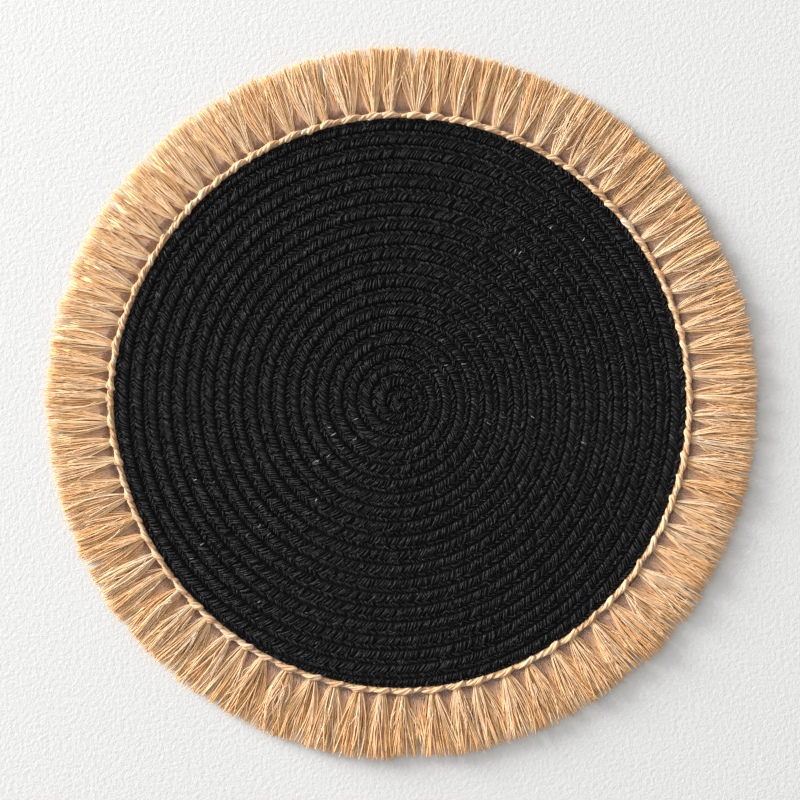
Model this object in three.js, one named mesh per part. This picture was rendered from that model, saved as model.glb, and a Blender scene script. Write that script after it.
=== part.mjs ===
// A round placemat: one braided paper cord coiled flat and sewn turn to turn, edged with a
// chain-stitched trim that carries a full ring of cut tassels. Millimetres, +Z up. It lies
// flat on the plane z = 0, and the Z axis runs through the middle of the coil.
import * as THREE from 'three';

// Driving dimensions of the coiled mat
const MAT_RADIUS = 153.2; // to the outside of the outermost turn of cord
const TURNS = 20; // turns of cord between the rim and the middle
const CORD_HEIGHT = 4.0; // thickness of the cord as it lies
const GROOVE_HEIGHT = 2.8; // height of the valley between two turns
const RIM_HEIGHT = 1.9; // height of the widest line of the rounded rim
const FOOT_INSET = 1.3; // how far the flat underside stops short of that line
const CORD_END_ANGLE = THREE.MathUtils.degToRad(150); // where the cord's outer end tapers out
const SHIFT_SWEEP = THREE.MathUtils.degToRad(90); // stretch in which each turn steps inwards
const SHIFT_SHARE = 0.7; // share of the step that is made in that stretch
const RIM_BULGE = 1.8; // how far the tapered end swells the rim
const BULGE_SWEEP = THREE.MathUtils.degToRad(50);
const FULL_WIDTH_SHARE = 0.6; // share of its width at which the tapering cord is full height
const MAT_SIDES = 60; // facets in one turn

// Driving dimensions of the fringe trim
const SEWN_GAP = 0.3; // clearance between the rim and the trim
const CHAIN_WIDTH = 4.3; // width of the chain-stitched edge
const TASSELS = 84;
const LOCK_ROOT_WIDTH = 2.1; // width of one lock where it leaves the chain
const TIP_RADIUS = 189.4; // mean reach of the cut ends
const TIP_UNEVENNESS = 1.1; // how far single locks fall short of that or pass it
const UNEVEN_STEP = 2.4; // angle in radians that scatters the uneven lengths

// Section of the chain-stitched edge, from its inner foot over its crest to its outer
// foot. relief says how much of a link's rise a point takes up, and skew how much of its
// sideways shift.
const CHAIN_SECTION = [
  { across: 0.0, height: 0.0, relief: 0.0, skew: 0.0 },
  { across: 0.3, height: 1.9, relief: 0.3, skew: 1.3 },
  { across: 2.1, height: 2.5, relief: 1.0, skew: 1.0 },
  { across: CHAIN_WIDTH, height: 1.8, relief: 0.0, skew: 0.0 },
  { across: CHAIN_WIDTH, height: 0.0, relief: 0.0, skew: 0.0 },
];
const WALL_TOP = 3; // the point of that section where a lock's upper side leaves it
const WALL_FOOT = 4; // and where its lower side does

// The chain over one tassel: a long link, then a short one. at is where the column meets
// the tassels, counted in root widths from the tassel's middle, shift is how far the
// chain's crest lies from there, in mm, and rise how high it stands there.
const GAP_MIDDLE = Math.PI * (MAT_RADIUS + SEWN_GAP + CHAIN_WIDTH) / TASSELS / LOCK_ROOT_WIDTH;
const CHAIN_COLUMNS = [
  { at: -1.5, shift: -1.4, rise: 0.0, lock: true },
  { at: -0.5, shift: -0.7, rise: 1.2, lock: true },
  { at: 0.5, shift: 0.5, rise: 1.3, lock: true },
  { at: 1.5, shift: 1.0, rise: 0.0, lock: false },
  { at: GAP_MIDDLE, shift: -0.3, rise: 0.8, lock: false },
];

// A lock of yarn beyond its root in the chain: how far along its length, how far from one
// lock of the tassel to the next, and its own width and height. It is four-sided, rests
// flat on its lower side, and crown is the width of its upper side.
const LOCK_STATIONS = [
  { along: 0.42, pitch: 4.0, width: 3.6, crown: 2.0, height: 3.0 },
  { along: 1.0, pitch: 4.7, width: 4.2, crown: 2.6, height: 2.2 },
];

const COIL_PITCH = MAT_RADIUS / TURNS;
const FULL_TURN = 2 * Math.PI;

// The point at an angle from +X and a distance from the middle.
function polarPoint(radius, angle, height) {
  return [radius * Math.cos(angle), radius * Math.sin(angle), height];
}

// Two triangles for a four-cornered face.
function quad(a, b, c, d) {
  return [[a, b, c], [a, c, d]];
}

// A geometry from points and triangles, leaving out triangles that have two equal corners.
function geometryFrom(points, triangles) {
  const faces = triangles.filter(([a, b, c]) => a !== b && b !== c && c !== a);
  const geometry = new THREE.BufferGeometry();
  geometry.setAttribute('position', new THREE.Float32BufferAttribute(points.flat(), 3));
  geometry.setIndex(faces.flat());
  return geometry;
}

// Radius of the mat's rim. It swells where the cord's tapered end is sewn on.
function rimRadius(angle) {
  const fromEnd = THREE.MathUtils.euclideanModulo(angle - CORD_END_ANGLE, FULL_TURN);
  const swell = fromEnd < BULGE_SWEEP ? Math.sin((Math.PI * fromEnd) / BULGE_SWEEP) ** 2 : 0;
  return MAT_RADIUS + RIM_BULGE * swell;
}

// Share of a turn's inward step that is made by the time the cord has run so far round.
function stepShare(fromEnd) {
  const quick = THREE.MathUtils.smoothstep(fromEnd, 0, SHIFT_SWEEP);
  return (1 - SHIFT_SHARE) * (fromEnd / FULL_TURN) + SHIFT_SHARE * quick;
}

// The mat is one ribbon that winds in from the rim to the middle. Each turn rises from
// the groove outside it to its crest and falls to the groove inside it. The first turn
// starts at nothing against the rim, and the last one runs out at the middle.
function coiledMatGeometry() {
  const points = [];
  const add = (point) => points.push(point) - 1;
  const angleAt = (step) => CORD_END_ANGLE + (FULL_TURN * step) / MAT_SIDES;
  const lastStep = TURNS * MAT_SIDES;
  const sinkSteps = MAT_SIDES / 8;

  const groove = [];
  for (let step = 0; step <= lastStep; step += 1) {
    const turn = Math.floor(step / MAT_SIDES);
    const fromEnd = (FULL_TURN * (step % MAT_SIDES)) / MAT_SIDES;
    const radius = COIL_PITCH * (TURNS - turn - stepShare(fromEnd));
    const height = THREE.MathUtils.lerp(RIM_HEIGHT, GROOVE_HEIGHT, Math.min(1, step / sinkSteps));
    groove.push(add(polarPoint(radius, angleAt(step), height)));
  }

  const rim = [groove[0]];
  const foot = [];
  for (let step = 0; step < MAT_SIDES; step += 1) {
    const radius = rimRadius(angleAt(step));
    if (step > 0) rim.push(add(polarPoint(radius, angleAt(step), RIM_HEIGHT)));
    foot.push(add(polarPoint(radius - FOOT_INSET, angleAt(step), 0)));
  }

  const outer = (step) => (step < MAT_SIDES ? rim[step] : groove[step - MAT_SIDES]);
  const inner = (step) => groove[Math.min(step, lastStep)];
  const crest = [];
  for (let step = 0; step <= lastStep + MAT_SIDES; step += 1) {
    const from = new THREE.Vector3(...points[outer(step)]);
    const to = new THREE.Vector3(...points[inner(step)]);
    const fullness = Math.min(1, from.distanceTo(to) / (FULL_WIDTH_SHARE * COIL_PITCH));
    const middle = from.lerp(to, 0.5);
    const height = THREE.MathUtils.lerp(middle.z, CORD_HEIGHT, fullness);
    const pinched = outer(step) === inner(step);
    crest.push(pinched ? inner(step) : add([middle.x, middle.y, height]));
  }

  const triangles = [];
  for (let step = 0; step < lastStep + MAT_SIDES; step += 1) {
    const next = step + 1;
    triangles.push(...quad(outer(step), outer(next), crest[next], crest[step]));
    triangles.push(...quad(crest[step], crest[next], inner(next), inner(step)));
  }
  const underside = add([0, 0, 0]);
  for (let step = 0; step < MAT_SIDES; step += 1) {
    const next = (step + 1) % MAT_SIDES;
    triangles.push(...quad(foot[step], foot[next], rim[next], rim[step]));
    triangles.push([underside, foot[next], foot[step]]);
  }
  return geometryFrom(points, triangles);
}

// One lock of a tassel, from its root, four corners of the chain's outer wall, to its cut
// end. side is -1, 0 or 1, the lock's place across the tassel.
function addLock(points, triangles, root, middle, side, tipRadius) {
  const rootRadius = rimRadius(middle) + SEWN_GAP + CHAIN_WIDTH;
  let section = root;
  for (const { along, pitch, width, crown, height } of LOCK_STATIONS) {
    const radius = THREE.MathUtils.lerp(rootRadius, tipRadius, along);
    const corner = (span, z) => polarPoint(radius, middle + (side * pitch + span / 2) / radius, z);
    const corners = [[-width, 0], [width, 0], [crown, height], [-crown, height]];
    const next = corners.map(([span, z]) => points.push(corner(span, z)) - 1);
    for (let edge = 0; edge < 4; edge += 1) {
      const beside = (edge + 1) % 4;
      triangles.push(...quad(section[edge], section[beside], next[beside], next[edge]));
    }
    section = next;
  }
  triangles.push(...quad(...section));
}

// The trim is one piece: the chain-stitched edge, a section carried round the rim that
// rises at every link, with the locks of the tassels growing out of its outer wall.
function fringeTrimGeometry() {
  const points = [];
  const triangles = [];
  const columns = [];
  for (let tassel = 0; tassel < TASSELS; tassel += 1) {
    const middle = (FULL_TURN * tassel) / TASSELS;
    for (const { at, shift, rise, lock } of CHAIN_COLUMNS) {
      const wallRadius = MAT_RADIUS + SEWN_GAP + CHAIN_WIDTH;
      const angle = middle + (at * LOCK_ROOT_WIDTH) / wallRadius;
      const innerRadius = rimRadius(angle) + SEWN_GAP;
      const first = points.length;
      for (const { across, height, relief, skew } of CHAIN_SECTION) {
        const radius = innerRadius + across;
        points.push(polarPoint(radius, angle + (skew * shift) / radius, height + relief * rise));
      }
      columns.push({ first, lock, middle, side: at + 0.5 });
    }
  }
  columns.forEach(({ first, lock, middle, side }, index) => {
    const next = columns[(index + 1) % columns.length].first;
    for (let edge = 0; edge < CHAIN_SECTION.length; edge += 1) {
      const beside = (edge + 1) % CHAIN_SECTION.length;
      if (lock && edge === WALL_TOP) continue;
      triangles.push(...quad(first + edge, first + beside, next + beside, next + edge));
    }
    if (lock) {
      const root = [first + WALL_FOOT, next + WALL_FOOT, next + WALL_TOP, first + WALL_TOP];
      const tipRadius = TIP_RADIUS + TIP_UNEVENNESS * Math.sin(UNEVEN_STEP * index);
      addLock(points, triangles, root, middle, side, tipRadius);
    }
  });
  return geometryFrom(points, triangles);
}

function namedMesh(name, geometry, color, roughness) {
  const material = new THREE.MeshStandardMaterial({ color, roughness, metalness: 0 });
  const mesh = new THREE.Mesh(geometry, material);
  mesh.name = name;
  return mesh;
}

const group = new THREE.Group();
group.add(namedMesh('coiled_mat', coiledMatGeometry(), 0x1c1b1d, 0.7));
group.add(namedMesh('fringe_trim', fringeTrimGeometry(), 0xd4a468, 0.75));

export default group;
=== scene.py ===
import bpy
import numpy as np
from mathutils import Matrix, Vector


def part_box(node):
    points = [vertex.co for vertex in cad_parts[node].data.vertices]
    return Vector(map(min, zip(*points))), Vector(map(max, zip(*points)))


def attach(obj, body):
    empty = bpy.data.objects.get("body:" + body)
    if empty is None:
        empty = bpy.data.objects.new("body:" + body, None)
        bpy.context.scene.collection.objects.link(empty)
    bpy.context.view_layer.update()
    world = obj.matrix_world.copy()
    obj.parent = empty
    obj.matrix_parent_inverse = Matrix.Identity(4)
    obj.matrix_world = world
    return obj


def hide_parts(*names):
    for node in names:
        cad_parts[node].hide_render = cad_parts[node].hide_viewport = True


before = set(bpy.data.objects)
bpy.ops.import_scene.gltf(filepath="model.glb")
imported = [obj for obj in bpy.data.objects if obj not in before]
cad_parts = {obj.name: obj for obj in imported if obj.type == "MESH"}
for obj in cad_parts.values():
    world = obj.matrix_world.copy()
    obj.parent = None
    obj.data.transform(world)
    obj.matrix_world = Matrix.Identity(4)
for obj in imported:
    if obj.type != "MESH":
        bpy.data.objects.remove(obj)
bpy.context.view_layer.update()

bl_info = {
    "name": "Round fringed placemat",
    "version": (1, 0, 0),
    "blender": (4, 5, 0),
    "location": "3D View > Sidebar > Placemat",
    "description": "Dresses the packed mat and trim with braided cord, chain stitches and tassels",
    "category": "Object",
}

MAT_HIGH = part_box("coiled_mat")[1]
FULL_TURN = 2 * np.pi
MM = 0.001
UP = np.array([0.0, 0.0, 1.0])

# Angles of the points round a strand, from its upper side
THREE_SIDES = np.radians([0, 120, 240])
THREE_SIDES_DOWN = np.radians([60, 180, 300])
FIVE_SIDES = np.radians([0, 72, 144, 216, 288])

# Share of its full width from which the tapering cord has its full height
FULL_FROM = 0.6


# Sizes and colours that a user would change


class PlacematCoil(bpy.types.PropertyGroup):
    """Sizes of the braided cord and its coil"""

    radius: bpy.props.FloatProperty(
        name="Mat radius",
        description="From the middle to the outside of the outermost turn",
        default=MAT_HIGH.x,
        unit="LENGTH",
    )
    height: bpy.props.FloatProperty(
        name="Cord thickness",
        description="Height of a turn of the cord as it lies",
        default=MAT_HIGH.z,
        unit="LENGTH",
    )
    turns: bpy.props.IntProperty(
        name="Turns",
        description="Turns of cord between the rim and the middle",
        default=20,
    )
    cord_end: bpy.props.FloatProperty(
        name="Cord end",
        description="Where the outer end of the cord tapers out against the rim",
        default=np.radians(200),
        subtype="ANGLE",
    )
    sway: bpy.props.FloatProperty(
        name="Sway",
        description="How far the coil's middle stands off the mat's middle, in cord widths",
        default=0.41,
    )
    stitch: bpy.props.FloatProperty(
        name="Plait length",
        description="Length of cord from one strand of the plait to the next on the same side",
        default=2.7 * MM,
        unit="LENGTH",
    )
    apex: bpy.props.FloatProperty(
        name="Plait line",
        description="Share of the width, from the inner groove, at which the strands' columns meet",
        default=0.67,
        subtype="FACTOR",
    )


class PlacematTrim(bpy.types.PropertyGroup):
    """Sizes of the chain-stitched edge and its tassels"""

    gap: bpy.props.FloatProperty(
        name="Sewn gap",
        description="Clearance between the rim and the trim",
        default=0.3 * MM,
        unit="LENGTH",
    )
    chain_width: bpy.props.FloatProperty(
        name="Chain width",
        description="Width of the chain-stitched edge",
        default=4.3 * MM,
        unit="LENGTH",
    )
    tassels: bpy.props.IntProperty(
        name="Tassels",
        description="Number of tassels round the mat",
        default=84,
    )
    strands: bpy.props.IntProperty(
        name="Strands in a tassel",
        description="Number of fine strands of yarn that fan out from each tassel",
        default=58,
    )
    tip_radius: bpy.props.FloatProperty(
        name="Reach of the fringe",
        description="Mean distance of the cut ends from the middle",
        default=190.2 * MM,
        unit="LENGTH",
    )


class PlacematColours(bpy.types.PropertyGroup):
    """Colours of the cord, the yarn and the floor"""

    cord: bpy.props.FloatVectorProperty(
        name="Black cord",
        description="Colour of the dyed paper cord",
        default=(0.0078, 0.0078, 0.0083),
        subtype="COLOR",
        size=3,
    )
    yarn: bpy.props.FloatVectorProperty(
        name="Natural yarn",
        description="Colour of the undyed yarn of the trim",
        default=(0.88, 0.57, 0.30),
        subtype="COLOR",
        size=3,
    )
    pale_yarn: bpy.props.FloatVectorProperty(
        name="Pale fibres",
        description="Colour of the palest fibres in the yarn",
        default=(0.885, 0.74, 0.57),
        subtype="COLOR",
        size=3,
    )
    floor: bpy.props.FloatVectorProperty(
        name="Floor",
        description="Colour of the floor under the mat",
        default=(0.64, 0.64, 0.632),
        subtype="COLOR",
        size=3,
    )


# The line of the cord: turn counts the turns that the cord has run from its outer end


def smoothstep(value):
    """Rises from 0 to 1 without corners: 3 v squared less 2 v cubed, v kept from 0 to 1."""
    kept = np.clip(value, 0, 1)
    return kept * kept * (3 - 2 * kept)


def rim_radius(coil, angle):
    """Mat radius, swollen along the 50 degrees before the tapered end by sin squared of 1.8 mm."""
    swell = 1.8 * MM
    sweep = np.radians(50)
    from_start = np.mod(angle - coil.cord_end + sweep, FULL_TURN)
    inside = np.minimum(from_start, sweep)
    return coil.radius + swell * np.sin(np.pi * inside / sweep) ** 2


def groove_radius(coil, turn):
    """Radius of the groove inside a turn.

    It falls by one cord width a turn, less the sway times cos 40 less cos(angle run + 40 degrees),
    which is the spiral seen from beside its own middle. The sway dies out over the last 3 turns."""
    left = coil.turns - turn
    start = np.radians(40)
    calm_turns = 3
    aside = np.cos(start) - np.cos(FULL_TURN * turn + start)
    sway = coil.sway * aside * smoothstep(left / calm_turns)
    return np.maximum(0, coil.radius / coil.turns * (left - sway))


def turn_edges(coil, turn):
    """Angle of the cord at a turn, and the radii of its inner and outer edge."""
    angle = coil.cord_end + FULL_TURN * turn
    inner = np.where(turn < coil.turns, groove_radius(coil, turn), 0)
    outer = np.where(turn < 1, rim_radius(coil, angle), groove_radius(coil, np.maximum(turn - 1, 0)))
    return angle, inner, outer


# Share of the cord's width from its inner groove, and height there as a share of the cord's height:
# a steep step at the inner groove, a crown at a quarter of the width and a long slope outwards
PROFILE_ACROSS, PROFILE_HEIGHT = np.transpose(
    [
        (-0.04, 0.34), (0.00, 0.43), (0.03, 0.56), (0.06, 0.64), (0.10, 0.695), (0.15, 0.73),
        (0.20, 0.748), (0.26, 0.75), (0.32, 0.738), (0.40, 0.702), (0.50, 0.64), (0.60, 0.585),
        (0.70, 0.54), (0.80, 0.515), (0.88, 0.50), (0.94, 0.47), (1.00, 0.39), (1.04, 0.33),
    ]
)


def crown_height(coil, across):
    """Height of the strands' middle lines, read off the cord's profile."""
    return coil.height * np.interp(across, PROFILE_ACROSS, PROFILE_HEIGHT)


def polar(radius, angle, height):
    """Point at a distance and an angle from the middle: x = r cos a, y = r sin a, z = height."""
    return np.stack([radius * np.cos(angle), radius * np.sin(angle), height + 0 * radius], axis=-1)


# Meshes from whole arrays


def unit(vectors):
    """Vectors brought to length 1."""
    return vectors / np.maximum(np.linalg.norm(vectors, axis=-1, keepdims=True), 1e-12)


def make_piece(name, points, quads, triangles, material, tone=None, uv=None):
    """A smooth mesh of points, four-cornered faces and triangles, riding on the root body."""
    mesh = bpy.data.meshes.new(name)
    corners = np.concatenate([quads.ravel(), triangles.ravel()])
    four = np.arange(0, quads.size, 4)
    three = quads.size + np.arange(0, triangles.size, 3)
    mesh.vertices.add(len(points))
    mesh.vertices.foreach_set("co", points.astype(np.float32).ravel())
    mesh.loops.add(len(corners))
    mesh.loops.foreach_set("vertex_index", corners.astype(np.int32))
    mesh.polygons.add(len(quads) + len(triangles))
    mesh.polygons.foreach_set("loop_start", np.concatenate([four, three]).astype(np.int32))
    mesh.polygons.foreach_set("use_smooth", np.ones(len(quads) + len(triangles), bool))
    mesh.update(calc_edges=True)
    if tone is not None:
        layer = mesh.attributes.new("thread_tone", "FLOAT", "POINT")
        layer.data.foreach_set("value", tone.astype(np.float32).ravel())
    if uv is not None:
        layer = mesh.uv_layers.new(name="fibre")
        layer.uv.foreach_set("vector", uv.astype(np.float32).ravel())
    if mesh.validate():
        raise RuntimeError(f"{name} has faces that don't hold together")
    mesh.materials.append(material)
    piece = bpy.data.objects.new(name, mesh)
    bpy.context.scene.collection.objects.link(piece)
    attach(piece, "root")
    return piece


def strand_frames(line, up):
    """Side and upward directions along middle lines: the side is the line's run crossed with up."""
    run = unit(np.gradient(line, axis=-2))
    side = unit(np.cross(run, up))
    return side, np.cross(side, run)


def make_strands(name, line, half_width, half_height, tone, material, up=UP, ring=THREE_SIDES,
                 along=None):
    """Closed spindles carried along many middle lines at once.

    line holds strands x stations x 3 points. At each station the ring stands at
    line + side half_width sin a + up half_height cos a, for the angles a in ring. The first and
    last station shrink to one point each, which closes the ends. along gives the stations' share of
    the length, where they don't stand evenly.
    """
    side, rise = strand_frames(line, up)
    count, stations = line.shape[:2]
    sides = len(ring)
    middle = slice(1, stations - 1)
    wide = half_width[:, middle, None, None] * np.sin(ring)[None, None, :, None]
    tall = half_height[:, middle, None, None] * np.cos(ring)[None, None, :, None]
    rings = line[:, middle, None] + side[:, middle, None] * wide + rise[:, middle, None] * tall
    points = np.concatenate([line[:, :1], rings.reshape(count, -1, 3), line[:, -1:]], axis=1)
    each = points.shape[1]
    station, step = np.mgrid[0 : stations - 3, 0:sides]
    here = 1 + station * sides
    after = (step + 1) % sides
    corners = [here + step, here + after, here + sides + after, here + sides + step]
    quads = np.stack(corners, axis=-1).reshape(-1, 4)
    steps = np.arange(sides)
    following = (steps + 1) % sides
    last_ring = 1 + (stations - 3) * sides
    root = np.stack([0 * steps, 1 + following, 1 + steps], axis=-1)
    tip = np.stack([0 * steps + each - 1, last_ring + steps, last_ring + following], axis=-1)
    caps = np.concatenate([root, tip])
    offsets = (np.arange(count) * each)[:, None, None]
    along = np.linspace(0, 1, stations) if along is None else along
    u_quads = np.stack([step, step + 1, step + 1, step], axis=-1).reshape(-1) / sides
    v_quads = along[1 + np.stack([station, station, station + 1, station + 1], axis=-1)].reshape(-1)
    u_root = np.stack([steps + 0.5, steps + 1, steps], axis=-1).reshape(-1) / sides
    u_tip = np.stack([steps + 0.5, steps, steps + 1], axis=-1).reshape(-1) / sides
    v_root = np.tile(along[[0, 1, 1]], sides)
    v_tip = np.tile(along[[-1, -2, -2]], sides)
    body_uv = np.stack([u_quads, v_quads], axis=-1)
    caps_uv = np.stack([np.concatenate([u_root, u_tip]), np.concatenate([v_root, v_tip])], axis=-1)
    uv = np.concatenate([np.tile(body_uv, (count, 1)), np.tile(caps_uv, (count, 1))])
    return make_piece(
        name,
        points.reshape(-1, 3),
        (quads[None] + offsets).reshape(-1, 4),
        (caps[None] + offsets).reshape(-1, 3),
        material,
        tone=np.repeat(tone, each),
        uv=uv,
    )


def wander(rng, turn, waves, scale):
    """A slow unevenness along the cord: a sum of sine waves with random lengths and starts."""
    total = 0 * turn
    for _ in range(waves):
        pace = rng.uniform(0.4, 1.6) * FULL_TURN / scale
        total = total + np.sin(pace * turn + rng.uniform(0, FULL_TURN))
    return total / np.sqrt(waves)


# Materials


def add_node(tree, kind, values=None, **settings):
    """Adds a node with its settings. values gives its inputs: a socket is linked, others are set."""
    made = tree.nodes.new(kind)
    for key, value in settings.items():
        setattr(made, key, value)
    for key, value in (values or {}).items():
        if isinstance(value, bpy.types.NodeSocket):
            tree.links.new(value, made.inputs[key])
        else:
            made.inputs[key].default_value = value
    return made


def calculate(tree, operation, first, second=0.0):
    """One sum on two values, or on the first alone."""
    return add_node(tree, "ShaderNodeMath", {0: first, 1: second}, operation=operation).outputs[0]


def blend_colours(tree, share, first, second):
    """Goes from the first colour to the second as share goes from 0 to 1."""
    values = {0: share, 6: first, 7: second}
    return add_node(tree, "ShaderNodeMix", values, data_type="RGBA").outputs[2]


def map_range(tree, value, start, end, low=0.0, high=1.0):
    """Goes from low to high as the value goes from start to end, and no further."""
    values = {"Value": value, "From Min": start, "From Max": end, "To Min": low, "To Max": high}
    return add_node(tree, "ShaderNodeMapRange", values).outputs[0]


def soft_noise(tree, place, scale, detail, roughness):
    """Noise between 0 and 1 over a place."""
    values = {"Vector": place, "Scale": scale, "Detail": detail, "Roughness": roughness}
    return add_node(tree, "ShaderNodeTexNoise", values).outputs[0]


def add_relief(tree, shader, height, distance, strength=1.0):
    """Bumps the shader's normal, on top of any relief that it has already."""
    normal = shader.inputs["Normal"]
    values = {"Height": height, "Strength": strength, "Distance": distance}
    if normal.is_linked:
        values["Normal"] = normal.links[0].from_socket
    tree.links.new(add_node(tree, "ShaderNodeBump", values).outputs[0], normal)


def opaque(colour):
    """A colour with its alpha."""
    return (*colour, 1)


def new_group(name, inputs, outputs):
    """An empty shader node group: its tree, the sockets of its inputs and those of its outputs.

    inputs gives each input's default, a number or a colour, and outputs each output's kind."""
    tree = bpy.data.node_groups.new(name, "ShaderNodeTree")
    for label, default in inputs.items():
        kind = "NodeSocketColor" if isinstance(default, tuple) else "NodeSocketFloat"
        socket = tree.interface.new_socket(label, in_out="INPUT", socket_type=kind)
        socket.default_value = default
    for label, kind in outputs.items():
        tree.interface.new_socket(label, in_out="OUTPUT", socket_type=kind)
    return tree, tree.nodes.new("NodeGroupInput").outputs, tree.nodes.new("NodeGroupOutput").inputs


def fibre_streaks_group():
    """Fine fibres along a strand, which differ from strand to strand: noise that is stretched along V,
    with the furrows between its plies, the absolute sine of U times the plies. Where Streak sets a
    colour, the furrows darken it: painted shade between the plies. The strand's tone comes out too,
    plus half the shade along it at the root and less half of it at the tip: painted light and shade
    from root to tip."""
    name = "Fibre streaks"
    if name in bpy.data.node_groups:
        return bpy.data.node_groups[name]
    noise_step = 61.0
    ply_step = 7.0
    furrow_depth = 0.7
    whole = 0.6
    inputs = {"Across": 8.0, "Along": 2.0, "Slant": 0.0, "Plies": 3.0, "Fade": 0.0}
    tree, given, out = new_group(name, inputs, {"Streak": "NodeSocketFloat", "Tone": "NodeSocketFloat"})
    place = add_node(tree, "ShaderNodeUVMap", uv_map="fibre").outputs[0]
    u, v, _ = add_node(tree, "ShaderNodeSeparateXYZ", {0: place}).outputs
    tone = add_node(tree, "ShaderNodeAttribute", attribute_name="thread_tone").outputs["Fac"]
    turned = calculate(tree, "ADD", u, calculate(tree, "MULTIPLY", v, given["Slant"]))
    across = calculate(tree, "MULTIPLY", turned, given["Across"])
    along = calculate(tree, "MULTIPLY", v, given["Along"])
    strand = calculate(tree, "MULTIPLY", tone, noise_step)
    where = add_node(tree, "ShaderNodeCombineXYZ", {0: across, 1: along, 2: strand}).outputs[0]
    fibre = map_range(tree, soft_noise(tree, where, 1.0, 2.0, 0.6), 0.3, 0.7)
    turns = calculate(tree, "MULTIPLY", turned, given["Plies"])
    shifted = calculate(tree, "ADD", turns, calculate(tree, "MULTIPLY", tone, ply_step))
    wave = calculate(tree, "SINE", calculate(tree, "MULTIPLY", shifted, np.pi))
    # The furrows also darken the colour where Streak sets it: painted shade between the plies
    furrows = calculate(tree, "MULTIPLY", calculate(tree, "ABSOLUTE", wave), furrow_depth)
    both = calculate(tree, "ADD", furrows, fibre)
    tree.links.new(calculate(tree, "MULTIPLY", both, whole), out["Streak"])
    # Shifts the tone between root and tip: painted light and shade along the strand
    shaded_along = calculate(tree, "MULTIPLY", calculate(tree, "SUBTRACT", 0.5, v), given["Fade"])
    tree.links.new(calculate(tree, "ADD", tone, shaded_along), out["Tone"])
    return tree


def thread_colour_group():
    """Colour of a thread: dark to plain to pale with the strand's tone, shifted by the streaks."""
    name = "Thread colour"
    if name in bpy.data.node_groups:
        return bpy.data.node_groups[name]
    inputs = {
        "Dark": (0, 0, 0, 1),
        "Plain": (0.5, 0.5, 0.5, 1),
        "Pale": (1, 1, 1, 1),
        "Tone": 0.5,
        "Streak": 0.5,
        "Streak strength": 0.3,
    }
    tree, given, out = new_group(name, inputs, {"Colour": "NodeSocketColor"})
    centred = calculate(tree, "SUBTRACT", given["Streak"], 0.5)
    shift = calculate(tree, "MULTIPLY", centred, given["Streak strength"])
    tone = calculate(tree, "ADD", given["Tone"], shift)
    lower = blend_colours(tree, map_range(tree, tone, 0.0, 0.5), given["Dark"], given["Plain"])
    colour = blend_colours(tree, map_range(tree, tone, 0.5, 1.0), lower, given["Pale"])
    tree.links.new(colour, out["Colour"])
    return tree


def felted_pits_group():
    """Small pits in felted fibre: 0 in a pit and 1 outside, from noise over the object's own place."""
    name = "Felted pits"
    if name in bpy.data.node_groups:
        return bpy.data.node_groups[name]
    inputs = {"Scale": 900.0, "Low": 0.4, "High": 0.6}
    tree, given, out = new_group(name, inputs, {"Surface": "NodeSocketFloat"})
    place = add_node(tree, "ShaderNodeTexCoord").outputs["Object"]
    noise = soft_noise(tree, place, given["Scale"], 3.0, 0.65)
    tree.links.new(map_range(tree, noise, given["Low"], given["High"]), out["Surface"])
    return tree


def felted_pits(tree, scale, low, high):
    """Places the pits in a material's tree. The noise is a pit under low and none over high."""
    values = {"Scale": scale, "Low": low, "High": high}
    return add_node(tree, "ShaderNodeGroup", values, node_tree=felted_pits_group()).outputs[0]


def new_material(name):
    """A new material with its tree and its surface shader."""
    material = bpy.data.materials.new(name)
    material.use_nodes = True
    tree = material.node_tree
    return material, tree, tree.nodes["Principled BSDF"]


def thread_material(name, dark, plain, pale, fibres, streak_strength, relief, roughness=0.5, specular=0.5,
                    shade_along=0.0):
    """Spun fibre: its colour comes from each strand's tone, and streaks along it give colour and relief.

    fibres holds the streaks round a strand and along it, their slant in turns, and the plies. With
    shade_along, the tone falls from a strand's root to its tip, which paints light and shade along the
    strand. Gives the material, and where it is new also its tree, shader and streaks."""
    if name in bpy.data.materials:
        return bpy.data.materials[name], None, None, None
    material, tree, shader = new_material(name)
    values = dict(zip(("Across", "Along", "Slant", "Plies", "Fade"), (*fibres, shade_along)))
    streaks = add_node(tree, "ShaderNodeGroup", values, node_tree=fibre_streaks_group()).outputs
    values = {
        "Dark": opaque(dark),
        "Plain": opaque(plain),
        "Pale": opaque(pale),
        "Tone": streaks["Tone"],
        "Streak": streaks["Streak"],
        "Streak strength": streak_strength,
    }
    colour = add_node(tree, "ShaderNodeGroup", values, node_tree=thread_colour_group()).outputs[0]
    tree.links.new(colour, shader.inputs["Base Color"])
    add_relief(tree, shader, streaks["Streak"], relief)
    shader.inputs["Roughness"].default_value = roughness
    shader.inputs["Specular IOR Level"].default_value = specular
    return material, tree, shader, streaks


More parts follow.
